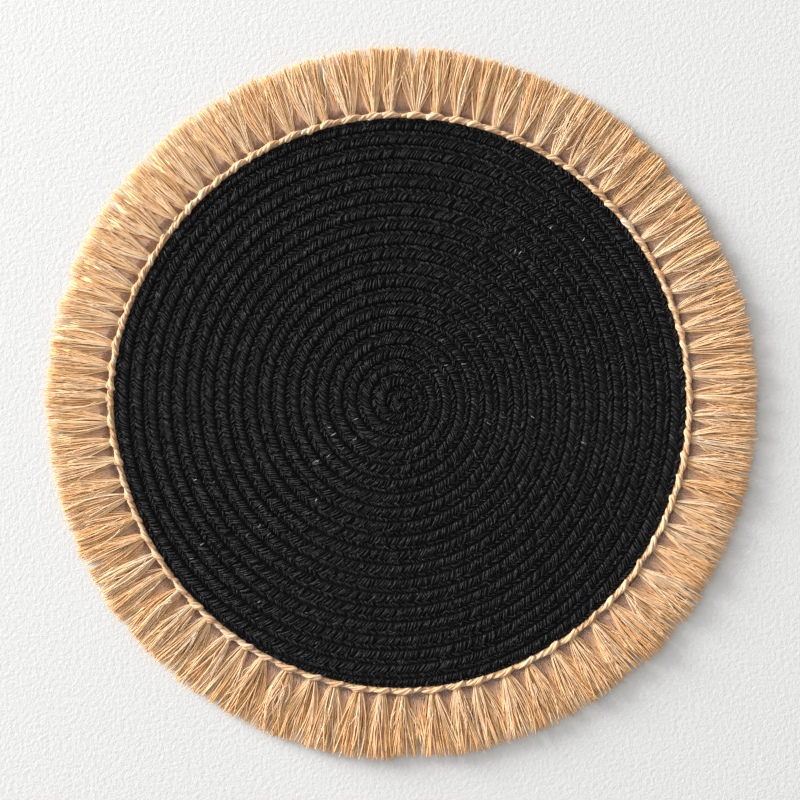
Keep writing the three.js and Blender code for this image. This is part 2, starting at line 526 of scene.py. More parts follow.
def black_cord_material(context):
    """Dyed paper strands of the plait: nearly black with pits, with finer ends side by side in each.
    The tone differs at random; its bluish grey pale end is painted highlight where the fibres catch the
    light, and the pits are darkened as painted shade.
    """
    plain = np.array(context.scene.placemat_colours.cord)
    material, tree, shader, streaks = thread_material(
        "Black paper cord",
        dark=plain * (0.26, 0.23, 0.19),
        plain=plain,
        # Bluish grey pale tone: painted highlight where the black fibres catch the light
        pale=plain * (3.9, 4.0, 4.3),
        fibres=(5.0, 4.0, 0.0, 2.0),
        streak_strength=1.1,
        relief=0.26 * MM,
        specular=0.42,
    )
    if tree:
        surface = felted_pits(tree, 520.0, 0.43, 0.50)
        paint = shader.inputs["Base Color"].links[0].from_socket
        # The pits darken the colour: painted shade in the hollows of the felted fibre
        pit_shaded_paint = blend_colours(tree, surface, opaque(plain * 0.08), paint)
        tree.links.new(pit_shaded_paint, shader.inputs["Base Color"])
        shine = calculate(tree, "MULTIPLY", streaks["Streak"], surface)
        tree.links.new(map_range(tree, shine, 0.0, 1.0, 0.85, 0.30), shader.inputs["Roughness"])
        add_relief(tree, shader, surface, 0.15 * MM)
    return material


def grey_wisp_material(context):
    """Fine fibres that stand out of the plait: dark grey where the dyed strands are nearly black."""
    plain = np.array(context.scene.placemat_colours.cord)
    return thread_material(
        "Grey wisp",
        dark=plain * 0.5,
        plain=plain * (3.6, 3.6, 3.8),
        pale=plain * (12.0, 12.0, 12.8),
        fibres=(4.0, 3.0, 0.0, 2.0),
        streak_strength=0.4,
        relief=0.05 * MM,
        specular=0.3,
    )[0]


def painted_glint_material():
    """Painted glints: thread ends coloured grey to nearly white as painted highlight where black fibres
    catch the light. They are glossy too, and smooth along their length.
    """
    return thread_material(
        "Painted glint thread",
        # Grey to nearly white: painted highlight on the black plait
        dark=(0.10, 0.10, 0.11),
        plain=(0.34, 0.34, 0.36),
        pale=(0.85, 0.85, 0.86),
        fibres=(5.0, 2.0, 0.0, 2.0),
        streak_strength=0.3,
        relief=0.05 * MM,
        roughness=0.3,
        specular=0.6,
    )[0]


def cord_ground_material(context):
    """The hidden middle of the cord and its sewn grooves: matt black with a fine felted grain, coloured
    darker than the strands as painted shade in the grooves and the gaps between strands.
    """
    plain = np.array(context.scene.placemat_colours.cord)
    material, tree, shader = new_material("Black cord ground")
    surface = felted_pits(tree, 2200.0, 0.3, 0.7)
    # Darker than the strands' black: painted shade in the grooves and between strands
    paint = blend_colours(tree, surface, opaque(plain * 0.15), opaque(plain * 0.5))
    tree.links.new(paint, shader.inputs["Base Color"])
    tree.links.new(map_range(tree, surface, 0.0, 1.0, 0.75, 0.95), shader.inputs["Roughness"])
    add_relief(tree, shader, surface, 0.2 * MM, strength=0.8)
    shader.inputs["Specular IOR Level"].default_value = 0.15
    return material


def natural_yarn_material(context):
    """Undyed yarn of the tassels: straw to golden, with pale fibres and fine lengthwise streaks. The
    roots are painted paler and the tips darker golden: painted light and shade along the strands.
    """
    colours = context.scene.placemat_colours
    plain = np.array(colours.yarn)
    return thread_material(
        "Natural yarn",
        dark=plain * (0.84, 0.66, 0.44),
        plain=plain,
        pale=colours.pale_yarn,
        fibres=(6.0, 9.0, 3.0, 2.0),
        streak_strength=0.40,
        relief=0.08 * MM,
        roughness=0.7,
        specular=0.2,
        # Paler roots and darker tips: painted light and shade along the strands
        shade_along=0.18,
    )[0]


def shade_fibre_material(context):
    """Loose fibre close to the table under the tassels, coloured as painted shade: dull brown at the
    chain, where the gaps between the tassels lie in shade, and golden further out.
    """
    plain = np.array(context.scene.placemat_colours.yarn)
    return thread_material(
        "Shade fibre",
        dark=plain * (0.57, 0.55, 0.74),
        plain=plain * (0.85, 0.77, 0.76),
        pale=plain * (1.06, 1.15, 1.22),
        fibres=(3.0, 8.0, 0.5, 2.0),
        streak_strength=0.15,
        relief=0.01 * MM,
        roughness=0.85,
        specular=0.1,
        # Darkest at the chain: painted shade at the tassels' roots
        shade_along=-1.3,
    )[0]


def chain_yarn_material(context):
    """The same yarn twisted into the links of the chain, so that its fibres slant round each link."""
    colours = context.scene.placemat_colours
    plain = np.array(colours.yarn)
    return thread_material(
        "Twisted chain yarn",
        dark=plain * (0.54, 0.45, 0.37),
        plain=plain * (0.86, 0.82, 0.88),
        pale=np.array(colours.pale_yarn) * (0.85, 0.81, 0.80),
        fibres=(7.0, 3.0, 1.2, 3.0),
        streak_strength=0.8,
        relief=0.24 * MM,
        roughness=0.7,
        specular=0.2,
    )[0]


def floor_material(context):
    """A plain pale floor with a faint unevenness of its painted face."""
    plain = np.array(context.scene.placemat_colours.floor)
    material, tree, shader = new_material("Pale floor")
    place = add_node(tree, "ShaderNodeTexCoord").outputs["Object"]
    noise = soft_noise(tree, place, 420.0, 4.0, 0.7)
    light = opaque(np.minimum(plain * 1.01, 1))
    paint = blend_colours(tree, noise, opaque(plain * 0.99), light)
    tree.links.new(paint, shader.inputs["Base Color"])
    add_relief(tree, shader, noise, 1.0 * MM, strength=0.45)
    shader.inputs["Roughness"].default_value = 0.8
    return material


# The mat


def ribbon_grid(coil, columns, bands):
    """Numbers of the points of a ribbon wound into a coil, so that each turn shares its outer edge
    with the inner edge of the turn before it. Gives rows of indices across the ribbon, and the turn
    at each row. The first points are the rim, then the grooves and then those inside the ribbon."""
    grooves = coil.turns * columns + 1
    row = np.arange((coil.turns + 1) * columns + 1)
    first_groove = columns - 1
    first_inside = first_groove + grooves
    outer = np.where(row < columns, row, first_groove + np.maximum(row - columns, 0))
    outer[columns] = 0
    inner = first_groove + np.minimum(row, grooves - 1)
    inner[0] = 0
    inside = first_inside + row[:, None] * (bands - 1) + np.arange(bands - 1)[None]
    inside[0] = 0
    inside[-1] = first_inside - 1
    index = np.concatenate([outer[:, None], inside, inner[:, None]], axis=1)
    return index, row / columns


def coil_surface(coil, columns, bands, height_at):
    """One side of the coil: at each turn the ribbon runs from its outer edge to its inner edge, and
    height_at gives the height from the share of the width (1 outside, 0 inside) and how full the
    tapering cord is."""
    index, turn = ribbon_grid(coil, columns, bands)
    angle, inner, outer = turn_edges(coil, turn)
    across = np.linspace(1, 0, bands + 1)[None]
    radius = inner[:, None] + (outer - inner)[:, None] * across
    full_width = FULL_FROM * coil.radius / coil.turns
    fullness = np.clip((outer - inner) / full_width, 0, 1)[:, None]
    places = polar(radius, angle[:, None] + 0 * radius, height_at(across + 0 * radius, fullness))
    points = np.zeros((index.max() + 1, 3))
    points[index[::-1, ::-1]] = places[::-1, ::-1]
    return points, index


def coil_quads(index):
    """Faces between neighbouring rows and shares of a ribbon, split into fours and threes."""
    corners = [index[:-1, :-1], index[1:, :-1], index[1:, 1:], index[:-1, 1:]]
    quads = np.stack(corners, axis=-1).reshape(-1, 4)
    same = quads == np.roll(quads, -1, axis=1)
    whole = quads[same.sum(axis=1) == 0]
    pinched = quads[same.sum(axis=1) == 1]
    twin = np.argmax(pinched == np.roll(pinched, -1, axis=1), axis=1)
    keep = np.arange(4)[None] != twin[:, None]
    return whole, pinched[keep].reshape(-1, 3)


def coil_body_heights(coil):
    """Height functions of the upper and lower face of the cord's body. The upper is the strands'
    crown less 0.19 of the cord's height. The lower is a flat arch that opens down from the sewn
    grooves: 0.30 less 0.20 times the root of 1 - w ^ 4.5, for w from -1 to 1 across the cord."""
    groove = 0.34 * coil.height
    under_strands = 0.19 * coil.height
    seam = 0.30
    hollow = 0.20

    def upper(across, fullness):
        full = np.maximum(crown_height(coil, across) - under_strands, groove)
        return groove + (full - groove) * fullness

    def lower(across, fullness):
        off = np.clip(np.abs(2 * across - 1), 0, 1)
        return coil.height * (seam - hollow * np.sqrt(1 - off ** 4.5) * fullness)

    return upper, lower


class PLACEMAT_OT_coil_body(bpy.types.Operator):
    """Winds the body of the cord into the coiled mat, sewn turn to turn"""

    bl_idname = "placemat.coil_body"
    bl_label = "Coil body"

    def execute(self, context):
        coil = context.scene.placemat_coil
        columns = 216
        bands_above = 6
        bands_below = 4
        rim_height = 0.32 * coil.height
        upper, lower = coil_body_heights(coil)
        top, index = coil_surface(coil, columns, bands_above, upper)
        bottom, under = coil_surface(coil, columns, bands_below, lower)
        top_quads, top_threes = coil_quads(index)
        # Both sides share the rim, which is the first point of each column
        low_quads, low_threes = coil_quads(np.where(under < columns, under, under - columns + len(top)))
        rim_angle = coil.cord_end + FULL_TURN * np.arange(columns) / columns
        top[:columns] = polar(rim_radius(coil, rim_angle), rim_angle, rim_height)
        body = make_piece(
            "coil_body",
            np.concatenate([top, bottom[columns:]]),
            np.concatenate([top_quads[:, ::-1], low_quads]),
            np.concatenate([top_threes[:, ::-1], low_threes]),
            cord_ground_material(context),
        )
        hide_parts("coiled_mat")
        return {"FINISHED"}


def plait_places(coil, shift):
    """Turns at which strands of the plait start: evenly along the cord, at the plait's length.

    The cord's length up to a turn is the sum of its middle radius times the angle it has run. Where
    the cord tapers to under 0.16 of its width, there are no strands."""
    steps_a_turn = 240
    least_width = 0.16 * coil.radius / coil.turns
    fine = np.linspace(0, coil.turns + 1, steps_a_turn * (coil.turns + 1) + 1)
    _, inner, outer = turn_edges(coil, fine)
    middle = (inner + outer) / 2
    step = (middle[1:] + middle[:-1]) / 2 * FULL_TURN * np.diff(fine)
    length = np.concatenate([[0], np.cumsum(step)])
    count = int(length[-1] / coil.stitch)
    wanted = (np.arange(count) + shift) * coil.stitch
    turn = np.interp(wanted, length, fine)
    width = np.interp(turn, fine, outer - inner)
    return turn[width > least_width]


def plait_lines(coil, turn, along, start, end, lean, tuck, ends, rng):
    """Middle lines of one column of the plait, as strands x ends x stations x 3 points.

    A strand starts tucked under the other column, at the share start of the cord's width, and runs
    to the share end. Meanwhile it moves on along the cord by lean, most of it in its first half. Its
    height follows the crown, less the tuck at its first end. The crown is flatter in the last turns,
    and sinks where the cord tapers. Each strand is made of ends that lie side by side. along gives
    the stations' share of the length.
    """
    along = along[None, None]
    turn = turn[:, None, None]
    each = (turn.shape[0], 1, 1)
    single = (turn.shape[0], ends, 1)
    _, inner, outer = turn_edges(coil, turn)
    width = outer - inner
    full = width * coil.turns / coil.radius

    # Across the cord, as shares of its width. On the rim, the outer column laps a little over it.
    wave = 0.03 * wander(rng, turn, 5, 0.35) + rng.normal(0, 0.03, each) + rng.normal(0, 0.02, single)
    across = start + wave + (end - start - wave) * along + rng.normal(0, 0.010, single)
    over_rim = (turn < 1) * (end > 0.5) * (0.06 + rng.normal(0, 0.03, each))
    across = across + over_rim * along ** 2

    # Along the cord
    reach = lean * full * (1 + 0.16 * wander(rng, turn, 5, 0.5) + rng.normal(0, 0.20, each))
    beside = (np.arange(ends) + 0.5) / ends - 0.5
    strand_share = 0.86
    moved = beside[None, :, None] * coil.stitch * (strand_share + 0 * turn)
    moved = moved + (rng.normal(0, 0.10, each) + rng.normal(0, 0.08, single)) * coil.stitch
    moved = moved + reach * (1 - (1 - along) ** 1.4) + rng.normal(0, 0.22, single) * coil.stitch * along
    radius_here = np.maximum((inner + outer) / 2, 0.25 * width)
    turn_there = np.clip(turn + moved / (FULL_TURN * radius_here), 0, coil.turns + 1)
    angle_there, inner_there, outer_there = turn_edges(coil, turn_there)
    radius = inner_there + (outer_there - inner_there) * across

    # Height
    low = tuck * coil.height * (1 - smoothstep(along / 0.4))
    lift = (rng.normal(0, 0.026, each) + rng.normal(0, 0.050, single)) * coil.height
    calm_turns = 3.5
    calm = 0.5 + 0.5 * smoothstep((coil.turns - turn) / calm_turns)
    middle = 0.62 * coil.height
    sunk = 0.4 * coil.height
    height = middle + (crown_height(coil, across) - middle) * calm - low + lift
    height = sunk + (height - sunk) * np.clip(full / FULL_FROM, 0, 1)
    near = 0.05
    fall = crown_height(coil, across - near) - crown_height(coil, across + near)
    slope = np.clip(fall / (2 * near * np.maximum(width, 1 * MM)), -1, 1)
    up = polar(slope, angle_there, 1)
    line = polar(radius, angle_there, height)
    size = np.clip(full, 0, 1.1) + np.zeros(single)
    shape = (-1, along.shape[-1], 3)
    return line.reshape(shape), unit(up).reshape(shape), size.reshape(-1, 1)


def strand_tones(rng, strands, ends, middle, spread):
    """Tones of the ends: each strand has its own, and its ends differ a little from it."""
    tone = rng.normal(middle, spread, (strands, 1)) + rng.normal(0, 0.6 * spread, (strands, ends))
    return np.clip(tone, 0, 1).ravel()


class PLACEMAT_OT_plait(bpy.types.Operator):
    """Lays the two columns of strands of the flat plait along the whole cord"""

    bl_idname = "placemat.plait"
    bl_label = "Plaited strands"

    def execute(self, context):
        coil = context.scene.placemat_coil
        material = black_cord_material(context)
        rng = np.random.default_rng(11)
        ends = 2
        tuck = 0.16
        inner_stations = np.array([0, 0.14, 0.42, 0.70, 0.94, 1])
        outer_stations = np.array([0, 0.22, 0.55, 0.90, 1])
        # name, stations, start and end as shares of the cord's width, then in mm how far the strands
        # run on along the cord and their half width; shift along the cord in stitches, and tone
        columns = (
            ("plait_inner_column", inner_stations, coil.apex + 0.06, 0.035, 3.3, 0.45, 0.0, 0.48),
            ("plait_outer_column", outer_stations, coil.apex - 0.04, 0.955, 2.9, 0.44, 0.5, 0.64),
        )
        for name, along, start, end, lean, wide, shift, tone in columns:
            turn = plait_places(coil, shift)
            line, up, full = plait_lines(coil, turn, along, start, end, lean * MM, tuck, ends, rng)
            belly = np.interp(along, [0, 0.2, 0.5, 0.92, 1], [0.6, 0.9, 1.0, 0.9, 0.7])[None]
            size = full * (1 + rng.normal(0, 0.12, full.shape))
            half_width = wide * MM * belly * size
            half_height = 0.9 * wide * MM * belly * np.sqrt(size)
            tones = strand_tones(rng, len(turn), ends, tone, 0.20)
            make_strands(name, line, half_width, half_height, tones, material, up=up,
                         along=along)
        return {"FINISHED"}


class PLACEMAT_OT_plait_underside(bpy.types.Operator):
    """Lays coarser strands on the underside of the cord, which rests on the table"""

    bl_idname = "placemat.plait_underside"
    bl_label = "Underside strands"

    def execute(self, context):
        coil = context.scene.placemat_coil
        material = black_cord_material(context)
        rng = np.random.default_rng(12)
        along = np.linspace(0, 1, 5)
        lowest = 0.55 * MM
        # name, start and end as shares of the cord's width, and how far the strands run on along it
        columns = (
            ("underside_inner_column", 0.70, 0.02, 3.6 * MM),
            ("underside_outer_column", 0.54, 0.98, 2.6 * MM),
        )
        for name, start, end, lean in columns:
            turn = plait_places(coil, 0.25)
            line, _, full = plait_lines(coil, turn, along, start, end, lean, 0.0, 1, rng)
            line[..., 2] = lowest + 0.5 * np.maximum(0.7 * coil.height - line[..., 2], 0)
            belly = 1 - 0.5 * (2 * along[None] - 1) ** 4
            half_width = 1.2 * MM * belly * full
            half_height = 0.5 * MM * belly * full
            tones = strand_tones(rng, len(turn), 1, 0.5, 0.16)
            make_strands(name, line, half_width, half_height, tones, material,
                         ring=THREE_SIDES_DOWN)
        return {"FINISHED"}


class PLACEMAT_OT_plait_wisps(bpy.types.Operator):
    """Scatters short fine fibres that stand out of the plait, paler than its strands"""

    bl_idname = "placemat.plait_wisps"
    bl_label = "Fine wisps"

    def execute(self, context):
        coil = context.scene.placemat_coil
        rng = np.random.default_rng(41)
        count = 8000
        q = np.linspace(0, 1, 4)[None]
        # Each fibre runs straight over the cord's width, leaning as the strands under it do, and
        # arches by a sine over the share q of its length
        turn = coil.turns * (1 - np.sqrt(rng.uniform(0.0005, 1, (count, 1))))
        _, inner, outer = turn_edges(coil, turn)
        start = rng.uniform(0.02, 0.92, (count, 1))
        lean = np.where(start < coil.apex, 1.0, -1.2) * rng.normal(0.9, 0.5, (count, 1))
        length = rng.uniform(1.2, 2.8, (count, 1)) * MM
        run = length / np.sqrt(1 + lean ** 2)
        across = start + run * q / np.maximum(outer - inner, 1 * MM)
        moved = -lean * run * q + rng.normal(0, 0.2 * MM, (count, 1)) * np.sin(np.pi * q)
        turn_there = turn + moved / (FULL_TURN * np.maximum(outer, 2 * MM))
        angle_there, inner_there, outer_there = turn_edges(coil, np.clip(turn_there, 0, coil.turns))
        radius = inner_there + (outer_there - inner_there) * np.minimum(across, 1)
        height = crown_height(coil, across) + (0.34 + 0.18 * np.sin(np.pi * q)) * MM
        line = polar(radius, angle_there, height)
        half = 0.21 * MM * rng.uniform(0.7, 1.2, (count, 1)) + 0 * q
        tones = rng.uniform(0, 1, count)
        material = grey_wisp_material(context)
        make_strands("plait_wisps", line, half, half, tones, material)
        return {"FINISHED"}


class PLACEMAT_OT_painted_glints(bpy.types.Operator):
    """Lays a few short pale threads on the plait: painted glints where its black fibres catch the light
    """

    bl_idname = "placemat.bright_ends"
    bl_label = "Painted glints"

    def execute(self, context):
        coil = context.scene.placemat_coil
        rng = np.random.default_rng(61)
        count = 34
        q = np.linspace(0, 1, 6)[None]
        # Directions in degrees, seen from the middle, of the painted glints, where the black fibres catch
        # the light
        painted_glint_places = [35, 45, 52, 200, 215, 228, 345]
        places = np.radians(rng.choice(painted_glint_places, count) + rng.normal(0, 6, count))
        turn = np.floor(rng.uniform(2, coil.turns - 3, count))
        turn = turn + np.mod(places - coil.cord_end, FULL_TURN) / FULL_TURN
        angle, inner, outer = turn_edges(coil, turn[:, None])
        across = rng.uniform(0.18, 0.45, (count, 1)) + (q - 0.5) * rng.uniform(0.25, 0.5, (count, 1))
        radius = inner + (outer - inner) * across
        height = crown_height(coil, across) + 0.55 * MM
        askew = rng.normal(0, 0.6 * MM, (count, 1)) * (q - 0.5) / radius
        line = polar(radius, angle + askew, height)
        half = 0.14 * MM * np.sin(np.pi * (0.15 + 0.7 * q)) * rng.uniform(0.7, 1.1, (count, 1))
        tones = rng.uniform(0.1, 0.8, count)
        material = painted_glint_material()
        make_strands("bright_ends", line, half, half, tones, material, ring=FIVE_SIDES)
        return {"FINISHED"}


# The trim


def tassel_angles(trim):
    """Angle of each tassel. They stand closest at 30 and 180 degrees and furthest apart at 300, as two
    slow sine waves put on even places say, and each is a little off."""
    even = FULL_TURN * np.arange(trim.tassels) / trim.tassels
    once_round = 0.098 * np.sin(even - np.radians(300))
    twice_round = 0.038 * np.sin(2 * (even - np.radians(285)))
    off = np.random.default_rng(20).normal(0, np.radians(0.35), trim.tassels)
    return even + once_round + twice_round + off


def tassel_room(trim):
    """Angle that each tassel has to itself: half the way from one neighbour to the other."""
    middle = tassel_angles(trim)
    return np.mod(np.roll(middle, -1) - np.roll(middle, 1), FULL_TURN) / 2


def tip_lift(angle):
    """Height of the cut ends as a share of the usual: 1 - 0.4 cos(angle - 150 degrees), so the fringe
    lies flatter at the upper left and stands off the table a little at the lower right."""
    return 1 - 0.4 * np.cos(angle - np.radians(150))


def trim_point(coil, angle, out, height):
    """Point on the trim: out is how far beyond the mat's rim."""
    return polar(rim_radius(coil, angle) + out, angle, height)


def twist_plies(line, radius, plies, twist, start):
    """Middle lines of plies wound round each strand's middle line.

    Ply j stands off the line by radius, at the angle start + j / plies + twist q of a full turn,
    measured from the side direction towards up. Gives strands x plies x stations x 3 points.
    """
    side, rise = strand_frames(line, UP)
    q = np.linspace(0, 1, line.shape[1])[None, None]
    turned = FULL_TURN * (np.arange(plies)[None, :, None] / plies + twist * q + start[:, None, None])
    off = np.cos(turned)[..., None] * side[:, None] + np.sin(turned)[..., None] * rise[:, None]
    return line[:, None] + radius[:, None, :, None] * off


class PLACEMAT_OT_trim_binding(bpy.types.Operator):
    """Lays the strip of yarn under the chain, through which the tassels are looped"""

    bl_idname = "placemat.trim_binding"
    bl_label = "Trim binding"

    def execute(self, context):
        coil = context.scene.placemat_coil
        steps = 504
        ribs = 252
        steps_a_twist = 6.0
        # Distance beyond the rim and height in mm, round the strip's section. The upper points rise
        # and fall by 0.18 mm times the sine of the angle times the ribs.
        section = np.array([[-0.3, 1.2], [0.4, 1.9], [2.0, 1.7], [2.7, 0.9], [2.4, 0.05], [0.0, 0.05]])
        sides = len(section)
        out, tall = section.T[:, None]
        angle = FULL_TURN * np.arange(steps)[:, None] / steps
        rib = 0.18 * np.sin(angle * ribs) * (tall > 0.5)
        points = trim_point(coil, angle, out * MM, (tall + rib) * MM)
        step, side = np.mgrid[0:steps, 0:sides]
        here = step * sides
        after = (step + 1) % steps * sides
        beside = (side + 1) % sides
        quads = np.stack([here + beside, after + beside, after + side, here + side], axis=-1)
        u = np.stack([side + 1, side + 1, side, side], axis=-1) / sides
        v = np.stack([step, step + 1, step + 1, step], axis=-1) / steps_a_twist
        binding = make_piece(
            "trim_binding",
            points.reshape(-1, 3),
            quads.reshape(-1, 4),
            np.zeros((0, 3), int),
            chain_yarn_material(context),
            # A low tone, darker than the links above: painted shade under the chain
            tone=np.full(steps * sides, 0.22),
            uv=np.stack([u, v], axis=-1).reshape(-1, 2),
        )
        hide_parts("fringe_trim")
        return {"FINISHED"}


class PLACEMAT_OT_chain_edge(bpy.types.Operator):
    """Sews the chain of twisted yarn links round the rim, over the roots of the tassels"""

    bl_idname = "placemat.chain_edge"
    bl_label = "Chain edge"

    def execute(self, context):
        coil = context.scene.placemat_coil
        trim = context.scene.placemat_trim
        rng = np.random.default_rng(21)
        count = trim.tassels
        plies = 3
        middle = tassel_angles(trim)[:, None]
        pitch = tassel_room(trim)[:, None]
        stations = 10
        along = np.linspace(0, 1, stations)[None]
        curve = np.maximum(np.sin(np.pi * along), 0)
        # start and end in pitches from the tassel, then in mm: distance outwards at the ends and how far
        # the link bows out from there, height at the ends and its rise, half width; and twist in turns
        links = (
            (-0.52, 0.42, 1.00, 0.80, 1.70, 0.80, 1.60, 0.70),
            (0.16, 0.80, 1.50, 0.15, 1.30, 0.45, 1.15, 0.6),
            (-0.22, 0.24, 1.80, 1.30, 1.30, 1.10, 0.80, 0.6),
        )
        lines, radii, twists = [], [], []
        for start, end, out_ends, bow, low, rise, wide, twist in links:
            shift = rng.normal(0, 0.045, (count, 1))
            angle = middle + (start + (end - start) * along + shift) * pitch
            tilt = rng.normal(0.90, 0.30, (count, 1)) * (1 - 2 * along)
            out = out_ends + bow * curve ** 0.8 + tilt + rng.normal(0, 0.18, (count, 1))
            tall = low + rise * curve ** 0.7 + 0.4 * along + rng.normal(0, 0.15, (count, 1))
            blunt = np.maximum(np.sin(np.pi * along ** 1.5), 0)
            belly = (0.34 + 0.66 * blunt ** 0.5) * (0.78 + 0.44 * along)
            belly = belly * (1 + rng.normal(0, 0.12, (count, 1)))
            lines.append(trim_point(coil, angle, out * MM, tall * MM))
            radii.append(0.45 * wide * MM * belly)
            twists.append(np.full((count, 1, 1), twist))
        line = np.concatenate(lines)
        radius = np.concatenate(radii)
        rows = len(line)
        twist = np.concatenate(twists) * rng.uniform(0.8, 1.2, (rows, 1, 1))
        ply = twist_plies(line, radius, plies, twist, rng.uniform(0, 1, rows)).reshape(-1, stations, 3)
        half = 1.22 * np.repeat(radius, plies, axis=0) * rng.uniform(0.9, 1.1, (rows * plies, 1))
        tone = rng.normal(0.42, 0.09, (rows, 1)) + rng.normal(0, 0.15, (rows, plies))
        tone = np.clip(tone, 0.05, 1).ravel()
        material = chain_yarn_material(context)
        chain = make_strands("chain_edge", ply, half, half, tone, material,
                             ring=FIVE_SIDES)
        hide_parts("fringe_trim")
        return {"FINISHED"}


def fan_lines(coil, trim, q, tassel, slot, spread, reach, height):
    """Middle lines in the fans of tassels, as rows x stations x 3 points.

    tassel gives the number of each row's tassel and slot its place in the fan, -1 and 1 at its edges.
    The fan's half width is the root's 1.8 mm, growing by 5.6 (1 - (1 - q) ^ 1.7) mm over the share q
    of the length and drawn in or out to the tassel's share of the ring. spread is a further move to
    the side, reach the radius of the cut end and height that of the line, all with q."""
    root_half, growth, under_chain = 1.8, 5.6, 2.0 * MM
    middle = tassel_angles(trim)[tassel][:, None]
    wide = (tassel_room(trim) * trim.tassels / FULL_TURN)[tassel][:, None]
    aside = slot * (root_half + growth * (1 - (1 - q) ** 1.7)) * MM * wide + spread
    root = rim_radius(coil, middle) + trim.gap + under_chain
    out = root + (reach - root) * q
    return polar(out, middle + aside / out, height)


def tassel_strands(coil, trim, rng, q):
    """Middle lines of the strands of every tassel, and how high each lies in it.

    The lower strands spread evenly over the fan. The upper ones lie in locks, which run to places of
    their own in the fan and open out towards the cut ends. All bend a little over their length."""
    count, strands = trim.tassels, trim.strands
    rows = count * strands
    tassel = np.repeat(np.arange(count), strands)
    locks = 7
    share_in_locks = 0.62
    shape = (count, locks)
    lock_root = np.linspace(-0.9, 0.9, locks) + rng.normal(0, 0.12, shape)
    lock_tip = 1.05 * lock_root + rng.normal(0, 0.30, shape)
    lock_sway = rng.normal(0, 0.9 * MM, shape)
    lock_layer = rng.permuted(np.tile(np.arange(locks), (count, 1)), axis=1) / locks
    upper = rng.uniform(0, 1, rows) < share_in_locks
    lock = rng.integers(0, locks, rows)
    beside = rng.normal(0, 1, (rows, 1))
    in_lock = lock_root[tassel, lock][:, None] * (1 - q) + lock_tip[tassel, lock][:, None] * q
    in_lock = in_lock + beside * (0.13 - 0.07 * smoothstep(q / 0.3) + 0.10 * q ** 1.3)
    evenly = rng.uniform(-0.9, 0.9, (rows, 1))
    evenly = evenly + rng.normal(0, 0.18, (rows, 1)) * q
    crossing = (rng.uniform(0, 1, (rows, 1)) < 0.35) * rng.normal(0, 0.6, (rows, 1))
    place = np.where(upper[:, None], in_lock, evenly) + crossing * q
    place = np.clip(place, -1.2, 1.2)
    layer = np.where(upper, 0.35 + 0.65 * lock_layer[tassel, lock], rng.uniform(0, 0.35, rows))[:, None]
    lean = np.repeat(rng.normal(0, 0.9 * MM, count), strands)[:, None] * q ** 1.4
    sway = (lock_sway[tassel, lock] * upper)[:, None] * np.sin(np.pi * q)
    bend = rng.normal(0, 0.8 * MM, (rows, 1)) * np.sin(np.pi * q)
    curl = rng.normal(0, 0.32 * MM, (rows, 1)) * np.sin(FULL_TURN * q + rng.uniform(0, 3, (rows, 1))) * q
    reach = np.repeat(rng.normal(trim.tip_radius, 0.5 * MM, count), strands)[:, None]
    reach = reach + rng.normal(0, 0.8 * MM, (rows, 1))
    root = 0.7 + 1.8 * layer + 1.5 * layer * smoothstep(q / 0.2) + rng.normal(0, 0.12, (rows, 1))
    tip = 2.3 + 1.3 * layer + 2.4 * rng.uniform(0, 1, (rows, 1)) ** 2
    tip = tip * tip_lift(tassel_angles(trim)[tassel])[:, None]
    bulge = 1 - 0.5 * place ** 2 * (1 - 0.5 * q)
    height = (0.5 + (root + (tip - root) * smoothstep((q - 0.15) / 0.85) - 0.5) * bulge) * MM
    line = fan_lines(coil, trim, q, tassel, place, lean + sway + bend + curl, reach, height)
    return line, layer.ravel()


class PLACEMAT_OT_tassels(bpy.types.Operator):
    """Loops the yarns of the tassels into the chain edge and cuts them to a round"""

    bl_idname = "placemat.tassels"
    bl_label = "Tassels"

    def execute(self, context):
        coil = context.scene.placemat_coil
        trim = context.scene.placemat_trim
        material = natural_yarn_material(context)
        rng = np.random.default_rng(31)
        q = np.array([0, 0.02, 0.15, 0.38, 0.62, 0.84, 0.99, 1])
        line, layer = tassel_strands(coil, trim, rng, q[None])
        rows = len(line)
        # Upper strands get paler tones and lower ones darker: painted light on top of each tassel and
        # painted shade beneath
        tone = 0.40 + 0.16 * layer + rng.normal(0, 0.16, rows)
        tone = tone + np.repeat(rng.normal(0, 0.06, trim.tassels), trim.strands)
        pale = rng.uniform(0, 1, rows) < 0.06
        tone = np.clip(np.where(pale, tone + 0.3, tone), 0.02, 0.98)
        half = (0.31 - 0.03 * q[None]) * MM * rng.uniform(0.8, 1.2, (rows, 1))
        half_height = (1 - 0.4 * q[None]) * half
        # Two pieces, so that neither has too many faces
        parts = np.array_split(np.arange(rows), 2)
        for name, part in zip(("tassel_yarns_a", "tassel_yarns_b"), parts):
            make_strands(name, line[part], half[part], half_height[part], tone[part], material,
                         along=q)
        return {"FINISHED"}


